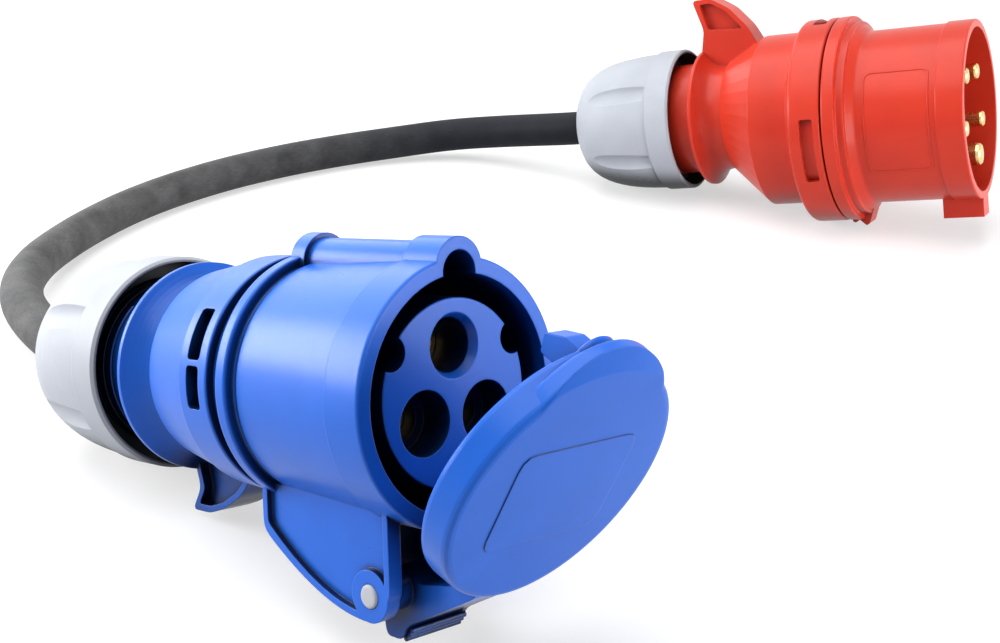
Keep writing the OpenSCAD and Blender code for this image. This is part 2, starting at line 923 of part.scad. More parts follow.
module socket_rear_housing() {
    waist_z = socket_collar_back - throat_z;
    color(blue_plastic)
        in_socket()
            difference() {
                union() {
                    turned([
                        [0, -ring_front],
                        [ring_r, -ring_front],
                        [ring_r - 0.4, -ring_back],
                        [ring_r - 0.9, -ring_back - 0.4],
                        [throat_r + 2.8, -waist_z - 1],
                        [throat_r - 0.6, -waist_z - 2],
                        [0, -waist_z - 2]
                    ]);
                    socket_gland() {
                        gland_neck();
                        rotate([0, 0, 180]) fin(socket_fin_h, socket_collar_back - ring_back - 4, false);
                    }
                }
                disc(socket_spigot_r + fit_gap, ring_front - over, spigot_back + seal_w);
                translate([0, 0, -waist_z - eps])
                    cylinder(
                        r1 = neck_cavity_r,
                        r2 = ring_r - housing_wall,
                        h = waist_z - spigot_back
                    );
                disc(ring_r - housing_wall, spigot_back, ring_back - 3);
                for (w = socket_windows)
                    window(ring_r, ring_front + window_inset, w[1], w[0]);
                socket_gland() gland_bore();
            }
}

module ring_seal(inside, outside, front, back) {
    difference() {
        disc(outside, front, back);
        disc(inside, front - over, back + over);
    }
}

module socket_body_seal() {
    color(black_rubber)
        in_socket()
            ring_seal(spigot_in, socket_spigot_r, spigot_back, spigot_back + seal_w);
}

// Gland pieces of either connector, in the frame of the gland
module gland_seal() {
    difference() {
        disc(neck_bore_r - fit_gap, neck_step + neck_step_t, neck_len);
        disc(seal_bore_r, 0, neck_len + over);
    }
}

cage_front = neck_len + cage_gap;
cage_tail = 2;

module clamp_cage(gap) {
    cage_taper = gap + nut_cone_front;
    cage_back = gap + nut_cone_back - cage_tail;
    difference() {
        turned([
            [cage_bore_r, -cage_front],
            [cage_ring_r, -cage_front],
            [cage_ring_r, -cage_taper],
            [cage_tip_r, -cage_back],
            [cage_bore_r, -cage_back]
        ], 0.4);
        for (k = [0 : cage_slots - 1])
            rotate([0, 0, 360 * k / cage_slots])
                translate([-cage_slot_w / 2, 0, -cage_back - over])
                    cube([cage_slot_w, cage_ring_r + over, cage_back - cage_taper + over]);
    }
}

// Radius of the nut's rounded back at a share of its length: full at first, closing in quickly at the end
function nut_back_r(share) = nut_dome_r * pow(1 - pow(share, 2.2), 0.22);

module gland_nut(gap) {
    dome_steps = 14;
    dome_sweep = 84;
    dome_len = nut_len - nut_band;
    dome = [
        for (k = [0 : dome_steps])
            let (share = sin(dome_sweep * k / dome_steps))
            [nut_back_r(share), -nut_band - dome_len * share]
    ];
    flute_tilt = 6;
    translate([0, 0, -gap])
        difference() {
            rotate_extrude()
                polygon(concat(
                    [
                        [nut_skirt_r, 0],
                        [nut_r - edge, 0],
                        [nut_r, -edge],
                        [nut_r, -nut_band]
                    ],
                    dome,
                    [
                        [nut_hole_r + edge, -nut_len],
                        [nut_hole_r, -nut_len + edge],
                        [nut_hole_r, -nut_cone_back],
                        [cage_ring_r + cage_gap, -nut_cone_front],
                        [neck_r + nut_clearance, -nut_cone_front],
                        [neck_r + nut_clearance, -nut_skirt],
                        [nut_skirt_r, -nut_skirt]
                    ]
                ));
            for (k = [0 : nut_flutes - 1])
                rotate([0, 0, 360 * k / nut_flutes])
                    translate([0, nut_dome_r + flute_r - flute_depth, -nut_band - over])
                        rotate([180 - flute_tilt, 0, 0])
                            cylinder(r = flute_r, h = nut_len);
        }
}

module socket_gland_seal() {
    color(black_rubber) in_socket() socket_gland() gland_seal();
}

module socket_clamp_cage() {
    color(grey_plastic) in_socket() socket_gland() clamp_cage(socket_nut_gap);
}

module socket_gland_nut() {
    color(grey_plastic) in_socket() socket_gland() gland_nut(socket_nut_gap);
}

// Plug shroud with its rear flange, key block and catch nose
module shroud_outline() {
    flange_front = plug_len - plug_flange_t;
    turned([
        [plug_in - over, 0],
        [plug_r, 0],
        [plug_r, -plug_band],
        [plug_body_r, -plug_band],
        [plug_body_r, -flange_front + 5],
        [plug_step_r - 1, -flange_front + 2.5],
        [plug_step_r, -flange_front + 2.5],
        [plug_step_r, -flange_front],
        [plug_flange_r, -flange_front],
        [plug_flange_r, -plug_len],
        [plug_spigot_r, -plug_len],
        [plug_spigot_r, -plug_len - plug_spigot_len],
        [plug_in - over, -plug_len - plug_spigot_len]
    ]);
}

module plug_key() {
    translate([-plug_key_w / 2, -plug_key_top, -plug_key_len])
        cube([plug_key_w, plug_key_top - plug_in, plug_key_len]);
}

// Catch nose below the flange, outline as [z, y]
module catch_nose() {
    plate([
        [-plug_len, -plug_step_r],
        [-plug_len, -plug_flange_r - 0.3],
        [-plug_len + 1, -plug_flange_r - 0.8],
        [-plug_len + 2.2, -plug_flange_r + 0.2],
        [-plug_len + 4.4, -nose_top],
        [-plug_len + 5.4, -nose_top + 0.6],
        [-plug_len + 7.6, -plug_body_r]
    ], 2 * nose_half, 0.4);
}

module plug_shroud() {
    color(red_plastic)
        in_plug()
            difference() {
                union() {
                    shroud_outline();
                    plug_key();
                    catch_nose();
                }
                disc(plug_in, -over, plug_carrier_z);
                disc(plug_in - seat_lip, -over, plug_len);
                disc(plug_spigot_in, plug_carrier_z + seat_lip, plug_len + plug_spigot_len + over);
            }
}

// Pin carrier: disc that closes the shroud and holds the pins
pin_angles = [108, 36, -36, -108, 180];
pin_sizes = [line_pin_r, line_pin_r, line_pin_r, line_pin_r, earth_pin_r];
pin_tips = [pin_recess, pin_recess, pin_recess, pin_recess, pin_recess - earth_lead];
carrier_front = plug_carrier_z + seat_lip;
carrier_rear = plug_spigot_back;

module pin_carrier() {
    color(red_plastic)
        in_plug()
            difference() {
                disc(plug_carrier_r, carrier_front, carrier_rear);
                for (k = [0 : len(pin_angles) - 1])
                    translate(around(pin_r_at, pin_angles[k]))
                        disc(
                            pin_sizes[k] + pin_shank + press_gap,
                            carrier_front - over,
                            carrier_rear + over
                        );
            }
}

// Pin: round-tipped contact on a thicker shank in the carrier, with a square terminal behind it
module contact_pin(k) {
    radius = pin_sizes[k];
    back = carrier_rear + terminal_len;
    place = around(pin_r_at, pin_angles[k]);
    difference() {
        union() {
            translate(place) {
                turned([
                    [0, -pin_tips[k]],
                    [radius, -pin_tips[k]],
                    [radius, -carrier_front - radius],
                    [0, -carrier_front - radius]
                ], radius * pin_round);
                disc(radius + pin_shank, carrier_front, carrier_rear + eps);
            }
            translate(place)
                rotate([0, 0, pin_angles[k]])
                    translate([-terminal_w / 2, -terminal_w / 2, -back])
                        cube([terminal_w, terminal_w, terminal_len]);
        }
        translate(place) disc(core_hole_r, carrier_rear + core_stop, back + over);
        pin_screw_place(k) cylinder(r = terminal_screw_r + screw_gap, h = terminal_w);
    }
}

module pin_screw_place(k) {
    translate(around(pin_r_at, pin_angles[k]) + [0, 0, -carrier_rear - terminal_len / 2])
        rotate([0, 0, pin_angles[k]])
            rotate([-90, 0, 0])
                children();
}

module line_one_pin() {
    color(brass) in_plug() contact_pin(0);
}

module line_two_pin() {
    color(brass) in_plug() contact_pin(1);
}

module line_three_pin() {
    color(brass) in_plug() contact_pin(2);
}

module neutral_pin() {
    color(brass) in_plug() contact_pin(3);
}

module earth_pin() {
    color(brass) in_plug() contact_pin(4);
}

module plug_terminal_screws() {
    color(steel)
        in_plug()
            for (k = [0 : len(pin_angles) - 1])
                pin_screw_place(k) cross_head_screw(screw_reach);
}

// Plug rear housing: window ring, body and a slanting shoulder down to the offset gland
module slanting_shoulder(body_r, waist_r, front, back) {
    hull() {
        translate([0, plug_rear_y, -front - eps]) cylinder(r = body_r, h = eps, $fn = hull_sides);
        translate([0, gland_offset, -back]) cylinder(r = waist_r, h = eps, $fn = hull_sides);
    }
}

module plug_rear_housing() {
    color(red_plastic)
        in_plug()
            difference() {
                union() {
                    turned([
                        [0, -plug_ring_front],
                        [plug_ring_r, -plug_ring_front],
                        [plug_ring_r, -plug_ring_back],
                        [plug_rear_r - plug_rear_y, -plug_ring_back - plug_fall],
                        [0, -plug_ring_back - plug_fall]
                    ], 1);
                    translate([0, plug_rear_y, 0]) disc(plug_rear_r, plug_ring_back - over, plug_shoulder);
                    slanting_shoulder(plug_rear_r, throat_r + 1, plug_shoulder, plug_waist_z);
                    plug_gland() {
                        gland_neck();
                        fin(plug_fin_h, plug_collar_back - plug_shoulder - 1, true);
                    }
                }
                disc(plug_spigot_r + fit_gap, plug_ring_front - over, plug_spigot_back + free_gap);
                disc(plug_spigot_r + seal_t, plug_ring_front - over, plug_seal_back);
                disc(plug_cavity_r, plug_ring_front, plug_shoulder);
                slanting_shoulder(plug_cavity_r, neck_cavity_r, plug_shoulder - eps, plug_waist_z);
                difference() {
                    for (w = plug_windows)
                        window(plug_ring_r, plug_ring_front + plug_window_inset, w[1], w[0]);
                    disc(plug_ring_r - plug_window_depth, plug_ring_front, plug_ring_back);
                }
                plug_gland() gland_bore();
            }
}

module plug_body_seal() {
    color(black_rubber)
        in_plug()
            ring_seal(plug_spigot_r, plug_spigot_r + seal_t, plug_ring_front + fit_gap, plug_seal_back);
}

module plug_gland_seal() {
    color(black_rubber) in_plug() plug_gland() gland_seal();
}

module plug_clamp_cage() {
    color(grey_plastic) in_plug() plug_gland() clamp_cage(plug_nut_gap);
}

module plug_gland_nut() {
    color(grey_plastic) in_plug() plug_gland() gland_nut(plug_nut_gap);
}

// Cable and its cores; stations are distances behind a collar
function cable_stations(gap) = [
    cable_end,
    neck_len,
    gap + nut_cone_back,
    gap + nut_len + nut_exit,
    gap + nut_len + cable_straight
];
plug_stations = cable_stations(plug_nut_gap);
route = concat(
    [for (s = cable_stations(socket_nut_gap)) on_socket([0, -socket_gland_offset, -socket_collar_back - s])],
    [for (p = route_mid) p + centring],
    [for (k = [len(plug_stations) - 1 : -1 : 0])
        on_plug([0, gland_offset, -plug_collar_back - plug_stations[k]])]
);

module cable() {
    color(black_rubber) sweep(curve(route, 2), cable_d / 2, cable_sides);
}

// One core from the end of the cable to its terminal, leaving the bundle at an angle
core_ring = core_d / 2 / sin(60) + core_gap;
core_lead = 2;
core_run = 2;
core_entry = 3;
core_steps = 10;

function eased(t) = t * t * (3 - 2 * t);
function between(a, b, share) = a + (b - a) * share;
function core_path(start, start_z, target, target_z) = concat(
    [[start[0], start[1], -start_z]],
    [
        for (j = [0 : core_steps])
            let (t = j / core_steps)
            [
                between(start[0], target[0], eased(t)),
                between(start[1], target[1], eased(t)),
                between(-start_z + core_lead, -target_z - core_run, t)
            ]
    ],
    [[target[0], target[1], -target_z + core_entry]]
);

module socket_core(k, tint) {
    start = around(core_ring, contact_angles[k]) - [0, socket_gland_offset, 0];
    path = core_path(
        start,
        socket_collar_back + cable_end,
        around(contact_r, contact_angles[k]),
        carrier_back + terminal_len
    );
    color(tint) sweep([for (p = path) on_socket(p)], core_d / 2, core_sides);
}

module plug_core(bundle_angle, k, tint) {
    start = around(core_ring, bundle_angle) + [0, gland_offset, 0];
    path = core_path(
        start,
        plug_collar_back + cable_end,
        around(pin_r_at, pin_angles[k]),
        carrier_rear + terminal_len
    );
    color(tint) sweep([for (p = path) on_plug(p)], core_d / 2, core_sides);
}

module socket_line_wire() {
    socket_core(0, "saddlebrown");
}

module socket_neutral_wire() {
    socket_core(1, "royalblue");
}

module socket_earth_wire() {
    socket_core(2, "yellowgreen");
}

module plug_line_wire() {
    plug_core(60, 0, "saddlebrown");
}

module plug_neutral_wire() {
    plug_core(-60, 3, "royalblue");
}

module plug_earth_wire() {
    plug_core(180, 4, "yellowgreen");
}

socket_barrel();
contact_carrier();
socket_line_contact();
socket_neutral_contact();
socket_earth_contact();
socket_terminal_screws();
lid();
lid_seal();
hinge_pin();
lid_spring();
socket_rear_housing();
socket_body_seal();
socket_gland_seal();
socket_clamp_cage();
socket_gland_nut();
socket_line_wire();
socket_neutral_wire();
socket_earth_wire();
plug_shroud();
pin_carrier();
line_one_pin();
line_two_pin();
line_three_pin();
neutral_pin();
earth_pin();
plug_terminal_screws();
plug_rear_housing();
plug_body_seal();
plug_gland_seal();
plug_clamp_cage();
plug_gland_nut();
plug_line_wire();
plug_neutral_wire();
plug_earth_wire();
cable();
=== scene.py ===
"""Dresses the power adapter cable: a red five-pin plug and a blue lidded socket on a short black cable.

Places are in the row frame, in metres. Sizes written in millimetres are in a connector's own frame,
which has its front face at z = 0, its rear towards -z and its key on the y axis, as the solids have.
"""

import json
import math

import bmesh
import bpy
from mathutils import Matrix, Vector


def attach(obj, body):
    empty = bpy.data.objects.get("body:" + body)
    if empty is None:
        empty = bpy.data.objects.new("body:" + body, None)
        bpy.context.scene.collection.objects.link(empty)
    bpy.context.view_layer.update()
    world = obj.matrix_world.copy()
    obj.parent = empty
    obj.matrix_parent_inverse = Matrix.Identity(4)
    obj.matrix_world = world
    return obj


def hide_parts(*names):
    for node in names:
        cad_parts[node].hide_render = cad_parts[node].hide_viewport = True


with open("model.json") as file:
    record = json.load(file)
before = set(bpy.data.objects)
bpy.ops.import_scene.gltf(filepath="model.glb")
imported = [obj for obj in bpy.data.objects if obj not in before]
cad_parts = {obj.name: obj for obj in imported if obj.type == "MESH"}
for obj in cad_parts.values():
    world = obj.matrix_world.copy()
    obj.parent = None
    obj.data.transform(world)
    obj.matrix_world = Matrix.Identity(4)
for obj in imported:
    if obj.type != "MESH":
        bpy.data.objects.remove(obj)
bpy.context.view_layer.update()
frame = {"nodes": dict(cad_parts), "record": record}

MM = 0.001

# Camera: the photograph's own, looking along +Y and down
PHOTO_W = 1000
FOCAL_PX = 1510
SENSOR_W = 36.0
CAMERA_AT = (-0.02815, -0.36307, 0.1708)
CAMERA_DOWN = 24.0
CLIP_NEAR = 0.01
CLIP_FAR = 50.0

# Where each connector lies: front centre in mm, then heading, rise to the front and roll in degrees
SOCKET_POSE = ((-34.75, -122.07, 49.2), -42.7, 13.4, -11.9)
PLUG_POSE = ((119.45, 86.83, 41.85), -26.0, 11.7, -7.8)

# Glands in mm: collar behind a connector's front, offset from its axis, and gap from collar to nut
SOCKET_COLLAR_BACK = 78.6
SOCKET_GLAND_OFFSET = -0.8
SOCKET_NUT_GAP = 8.6
PLUG_COLLAR_BACK = 87.0
PLUG_GLAND_OFFSET = 4.0
PLUG_NUT_GAP = 6.8
NECK_R = 18.0
NECK_LEN = 21.4
NUT_LEN = 38.0
NUT_CONE_BACK = 32.0
NUT_EXIT = 2.0

# Thread of a gland's neck in mm, on the part of the neck that the nut covers
THREAD_START = 9.0
THREAD_STOP = 1.5
THREAD_PITCH = 3.0
THREAD_R = 0.42
THREAD_RISE = 0.25
THREAD_STEPS = 64
THREAD_SIDES = 8

# Lid, hinge and the ribs on the thumb lever, in mm and degrees
HINGE_Y = -35.6
HINGE_Z = -10.4
LID_OPEN = 32.0
LEVER_HALF = 7.6
LEVER_REACH = 10.0
RIB_COUNT = 3
RIB_STEP = 1.15
RIB_R = 0.55
RIB_SIDES = 16
RIB_INSET = 0.8
RIB_FROM_END = 2.1
RIB_OVER_PIN = 5.5
RIB_SLOPE = math.atan2(0.5, 3.0)

# Bare label frame on the shroud's side, in mm and degrees round from the key
SHROUD_R = 27.0
LABEL_ANGLE = 88.5
LABEL_ARC = 32.0
LABEL_FRONT = -10.0
LABEL_BACK = -29.6
LABEL_CORNER = 2.0
LABEL_CORNER_STEPS = 6
LABEL_LINE = 0.5
LABEL_RISE = 0.16
LABEL_SUNK = 0.3
LABEL_CUT = 1.2

# Cable in mm: its route lies on the floor along the loop and rises to a gland at each end
CABLE_D = 11.4
CABLE_LAY = CABLE_D / 2 + 0.2
CABLE_END = 5.0
CABLE_STRAIGHT = 9.0
CABLE_SIDES = 36
CABLE_STEPS = 8
CENTRING = Vector((0.85, -4.07, 0))
CABLE_ROUTE = [
    (-139.5, -20, 15.4),
    (-149.5, -4, 14),
    (-157, 13, 12),
    (-161.8, 31, 9.8),
    (-163.4, 50, 7.8),
    (-161.6, 68, 6.4),
    (-156.5, 86, CABLE_LAY),
    (-148, 104, CABLE_LAY),
    (-136.5, 121, CABLE_LAY),
    (-122, 137, CABLE_LAY),
    (-105, 151, CABLE_LAY),
    (-87, 162.5, CABLE_LAY),
    (-68, 170, 6.6),
    (-48, 172, 8.8),
    (-30, 166.5, 11.8),
]

# Where along X the cable's dust and painted sheen are full and where they end, in metres
DUST_AND_SHEEN_FULL = -0.16
DUST_AND_SHEEN_ENDS = -0.03

# Plastics: colour, roughness, how dark the painted shade in a recess gets and the shares of open sky over
# which it does
PLASTICS = {
    "blue_plastic": ((0.013, 0.135, 0.68), 0.30, 0.04, (0.40, 0.88)),
    "red_plastic": ((0.59, 0.036, 0.016), 0.30, 0.55, (0.2, 0.55)),
    "grey_plastic": ((0.42, 0.445, 0.495), 0.50, 0.05, (0.3, 0.8)),
    "pale_plastic": ((0.50, 0.52, 0.55), 0.45, 0.1, (0.2, 0.62)),
    "brown_insulation": ((0.16, 0.06, 0.02), 0.45, 0.1, (0.2, 0.62)),
    "blue_insulation": ((0.02, 0.10, 0.45), 0.45, 0.1, (0.2, 0.62)),
    "green_insulation": ((0.20, 0.42, 0.04), 0.45, 0.1, (0.2, 0.62)),
}
METALS = {
    "brass": ((0.86, 0.62, 0.26), 0.24),
    "steel": ((0.60, 0.60, 0.62), 0.32),
}
RUBBER = ((0.010, 0.010, 0.011), (0.022, 0.022, 0.024))
CLEAN_SHEATH = ((0.006, 0.007, 0.010), (0.016, 0.017, 0.024))
# Paler sheath of the loop: dust and a painted sheen
DUSTY_SHEEN_SHEATH = ((0.050, 0.050, 0.052), (0.150, 0.150, 0.150))
# How far the painted shade of recesses looks for walls, in metres
PAINTED_SHADE_REACH = 0.02
PLASTIC_EDGE = 0.0004
METAL_EDGE = 0.0003

# Light on the part from the white room, and what lifts the floor to white where it is seen
WORLD_FILL = 0.12
FLOOR_HALF = 3.0
FLOOR_COLOUR = (0.50, 0.50, 0.51, 1)
FLOOR_LIFT = 0.57
FLOOR_NEAR = 0.32
FLOOR_FAR = 0.75
WHITE = (1, 1, 1, 1)

# Softboxes: place, aim, width, height and power; whether it lights matt colour and whether it shows in
# gloss; beam in degrees
SOFTBOXES = {
    "left_softbox": ((-0.62, 0.02, 0.20), (-0.08, -0.07, 0.05), 0.42, 0.24, 3.8, True, True, 180),
    "back_softbox": ((-0.55, 0.60, 0.42), (-0.05, -0.05, 0.05), 0.8, 0.5, 3.2, False, True, 180),
    "top_softbox": ((-0.16, 0.02, 0.80), (-0.03, 0, 0.03), 1.1, 0.8, 9.1, True, True, 180),
    "right_softbox": ((0.75, -0.20, 0.16), (0.10, 0.04, 0.05), 0.6, 0.30, 4.2, True, True, 180),
    "plug_softbox": ((0.55, -0.45, 0.08), (0.11, 0.10, 0.03), 0.3, 0.2, 0.18, True, False, 40),
}


# Frames of the connectors, the lid and the glands

def connector_frame(at, heading, rise, roll):
    """Matrix from a connector's own millimetres to the row frame."""
    own_axes = Matrix(((0, 0, 1, 0), (1, 0, 0, 0), (0, 1, 0, 0), (0, 0, 0, 1)))
    return (
        Matrix.Translation(Vector(at) * MM)
        @ Matrix.Rotation(math.radians(heading), 4, "Z")
        @ Matrix.Rotation(math.radians(-rise), 4, "Y")
        @ Matrix.Rotation(math.radians(roll), 4, "X")
        @ own_axes
        @ Matrix.Scale(MM, 4)
    )


def lid_swing():
    """Turn of the shut lid about its hinge pin, in the socket's millimetres."""
    pin = Vector((0, HINGE_Y, HINGE_Z))
    turn = Matrix.Rotation(math.radians(LID_OPEN), 4, "X")
    return Matrix.Translation(pin) @ turn @ Matrix.Translation(-pin)


SOCKET = connector_frame(*SOCKET_POSE)
PLUG = connector_frame(*PLUG_POSE)
LID = SOCKET @ lid_swing()
SOCKET_GLAND = SOCKET @ Matrix.Translation((0, SOCKET_GLAND_OFFSET, -SOCKET_COLLAR_BACK))
PLUG_GLAND = PLUG @ Matrix.Translation((0, PLUG_GLAND_OFFSET, -PLUG_COLLAR_BACK))


# Camera

def make_camera():
    data = bpy.data.cameras.new("photo_camera")
    data.sensor_fit = "HORIZONTAL"
    data.sensor_width = SENSOR_W
    data.lens = SENSOR_W * FOCAL_PX / PHOTO_W
    data.clip_start = CLIP_NEAR
    data.clip_end = CLIP_FAR
    camera = bpy.data.objects.new("photo_camera", data)
    camera.location = CAMERA_AT
    camera.rotation_euler = (math.radians(90 - CAMERA_DOWN), 0, 0)
    bpy.context.collection.objects.link(camera)
    bpy.context.scene.camera = camera


make_camera()


# Node trees

class Nodes:
    """Short way to add and join the nodes of a tree."""

    def __init__(self, tree):
        self.tree = tree

    def add(self, kind, **values):
        node = self.tree.nodes.new(kind)
        for key, value in values.items():
            if hasattr(node, key):
                setattr(node, key, value)
            else:
                node.inputs[key.replace("_", " ")].default_value = value
        return node

    def join(self, out, into):
        self.tree.links.new(out, into)

    def remap(self, value, source, target, smooth=False):
        """Value taken from one range to another."""
        node = self.add("ShaderNodeMapRange", interpolation_type="SMOOTHSTEP" if smooth else "LINEAR")
        levels = zip(("From Min", "From Max", "To Min", "To Max"), (*source, *target))
        for key, level in levels:
            node.inputs[key].default_value = level
        self.join(value, node.inputs["Value"])
        return node.outputs["Result"]

    def combine(self, operation, one, other):
        node = self.add("ShaderNodeMath", operation=operation)
        self.join(one, node.inputs[0])
        self.join(other, node.inputs[1])
        return node.outputs["Value"]

    def seen_rays(self):
        """1 on the rays that show the background: to the camera, or by way of metal or glass."""
        path = self.add("ShaderNodeLightPath").outputs
        mirrored = self.combine("MAXIMUM", path["Is Camera Ray"], path["Is Glossy Ray"])
        return self.combine("MAXIMUM", mirrored, path["Is Transmission Ray"])


class Finish(Nodes):
    """Material whose shader takes plain values and joined nodes by name."""

    def __init__(self, name):
        self.material = bpy.data.materials.new(name)
        self.material.use_nodes = True
        super().__init__(self.material.node_tree)
        self.shader = self.tree.nodes["Principled BSDF"]

    def set(self, **values):
        for key, value in values.items():
            self.shader.inputs[key.replace("_", " ")].default_value = value

    def feed(self, key, out):
        self.join(out, self.shader.inputs[key])

    def coords(self, kind="Object"):
        return self.add("ShaderNodeTexCoord").outputs[kind]

    def noise(self, scale, detail=2.0, coords=None):
        node = self.add("ShaderNodeTexNoise", Scale=scale, Detail=detail)
        self.join(coords or self.coords(), node.inputs["Vector"])
        return node.outputs["Fac"]

    def ramp(self, fac, places, colours):
        """Colour between two, as a value goes between two places."""
        node = self.add("ShaderNodeValToRGB")
        for element, place, colour in zip(node.color_ramp.elements, places, colours):
            element.position = place
            element.color = (*colour, 1)
        self.join(fac, node.inputs["Fac"])
        return node.outputs["Color"]

    def mix(self, share, far, near=None, plain=None):
        """Colour from near, or from a plain colour, to far as the share goes to 1."""
        node = self.add("ShaderNodeMix", data_type="RGBA")
        first, second = [i for i in node.inputs if i.type == "RGBA"]
        self.join(share, node.inputs[0])
        self.join(far, second)
        if plain:
            first.default_value = (*plain, 1)
        else:
            self.join(near, first)
        return next(o for o in node.outputs if o.type == "RGBA")

    def painted_recess_shade(self, colour, dark, closed):
        """Painted shade: colour that turns dark where walls close in around a point, between two shares of
        open sky.
        """
        sky = self.add("ShaderNodeAmbientOcclusion", samples=8, Distance=PAINTED_SHADE_REACH).outputs["AO"]
        return self.mix(self.remap(sky, closed, (0, 1), smooth=True), colour, plain=dark)

    def relief(self, height, distance, strength=1.0, edge=0.0):
        """Bump of that height in metres, over edges rounded by a small radius."""
        bump = self.add("ShaderNodeBump", Strength=strength, Distance=distance)
        self.join(height, bump.inputs["Height"])
        if edge:
            rounding = self.add("ShaderNodeBevel", samples=6, Radius=edge)
            self.join(rounding.outputs["Normal"], bump.inputs["Normal"])
        self.feed("Normal", bump.outputs["Normal"])


# Materials

def shade(colour, factor):
    return tuple(min(1.0, c * factor) for c in colour)


def moulded_plastic(name, colour, rough, painted_shade_level, closed):
    """Satin moulding: slight cloudiness, painted shade in recesses, fine eroded grain and softened edges.
    """
    m = Finish(name)
    cloud = m.ramp(m.noise(90.0, detail=3.0), (0.3, 0.7), (shade(colour, 0.95), shade(colour, 1.04)))
    # Painted shade darkens the colour in recesses
    m.feed("Base Color", m.painted_recess_shade(cloud, shade(colour, painted_shade_level), closed))
    m.feed("Roughness", m.remap(m.noise(700.0), (0, 1), (rough - 0.05, rough + 0.06)))
    m.relief(m.noise(5200.0, detail=1.0), distance=0.00002, strength=0.5, edge=PLASTIC_EDGE)
    m.set(IOR=1.5, Specular_IOR_Level=0.25)
    return m.material


def cable_sheath(name):
    """Rubber sheath: dull, with faint drawing marks along it, and paler on the loop than at the plug, with
    dust and a painted sheen.
    """
    m = Finish(name)
    along = m.add("ShaderNodeMapping", Scale=(60.0, 2.0, 1.0))
    m.join(m.coords("UV"), along.inputs["Vector"])
    streaks = m.noise(6.0, detail=3.0, coords=along.outputs["Vector"])
    dust = m.noise(130.0, detail=4.0)
    marks = m.combine("MULTIPLY", streaks, dust)
    clean = m.ramp(marks, (0.12, 0.45), CLEAN_SHEATH)
    dusty_sheen = m.ramp(marks, (0.12, 0.45), DUSTY_SHEEN_SHEATH)
    place = m.add("ShaderNodeSeparateXYZ")
    m.join(m.coords(), place.inputs["Vector"])
    # Paler towards the loop at the left: dust and a painted sheen
    share = m.remap(place.outputs["X"], (DUST_AND_SHEEN_ENDS, DUST_AND_SHEEN_FULL), (0, 1), smooth=True)
    m.feed("Base Color", m.mix(share, dusty_sheen, near=clean))
    m.feed("Roughness", m.remap(dust, (0, 1), (0.5, 0.72)))
    m.relief(m.noise(2600.0), distance=0.00004, strength=0.6)
    m.set(Specular_IOR_Level=0.12)
    return m.material


def seal_rubber(name):
    """Dull black rubber of the rings and bushes."""
    m = Finish(name)
    m.feed("Base Color", m.ramp(m.noise(200.0), (0.3, 0.7), RUBBER))
    m.feed("Roughness", m.remap(m.noise(900.0), (0, 1), (0.55, 0.75)))
    m.relief(m.noise(3000.0), distance=0.00003)
    return m.material


def turned_metal(name, colour, rough):
    """Turned or plated metal with fine tool marks."""
    m = Finish(name)
    worn = m.ramp(m.noise(260.0, detail=3.0), (0.3, 0.7), (shade(colour, 0.86), shade(colour, 1.06)))
    m.feed("Base Color", worn)
    m.feed("Roughness", m.remap(m.noise(1800.0), (0, 1), (rough - 0.06, rough + 0.08)))
    m.relief(m.noise(4200.0), distance=0.00001, strength=0.4, edge=METAL_EDGE)
    m.set(Metallic=1.0)
    return m.material


FINISHES = {
    **{name: moulded_plastic(name, *look) for name, look in PLASTICS.items()},
    **{name: turned_metal(name, *look) for name, look in METALS.items()},
    "cable_rubber": cable_sheath("cable_rubber"),
    "seal_rubber": seal_rubber("seal_rubber"),
}


def finish_solids():
    """Gives every solid the finish of its material slot."""
    for part in frame["record"]["subparts"]:
        solid = frame["nodes"][part["node"]]
        for slot in solid.material_slots:
            slot.material = FINISHES[part["material_slot"]]


finish_solids()


def new_piece(name, mesh, body, finish):
    """Links a mesh with its finish and fastens it to its body."""
    piece = bpy.data.objects.new(name, mesh)
    bpy.context.collection.objects.link(piece)
    if not mesh.materials:
        mesh.materials.append(FINISHES[finish])
    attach(piece, body)
    return piece


# Cable

def smooth_line(points, steps):
    """Points of a smooth curve through the given points."""
    last = len(points) - 1
    line = []
    for i in range(last):
        a, b = points[max(i - 1, 0)], points[i]
        c, d = points[i + 1], points[min(i + 2, last)]
        pull, bend, twist = c - a, 2 * a - 5 * b + 4 * c - d, 3 * b - a - 3 * c + d
        for j in range(steps):
            t = j / steps
            line.append(0.5 * (2 * b + pull * t + bend * t * t + twist * t**3))
    line.append(points[last])
    return line


def cable_stations(gap):
    """Distances behind a collar at which the cable lies on its gland's axis."""
    back = gap + NUT_LEN
    return (CABLE_END, NECK_LEN, gap + NUT_CONE_BACK, back + NUT_EXIT, back + CABLE_STRAIGHT)


def cable_points():
    start = [SOCKET_GLAND @ Vector((0, 0, -s)) for s in cable_stations(SOCKET_NUT_GAP)]
    middle = [(Vector(p) + CENTRING) * MM for p in CABLE_ROUTE]
    finish = [PLUG_GLAND @ Vector((0, 0, -s)) for s in reversed(cable_stations(PLUG_NUT_GAP))]
    return start + middle + finish


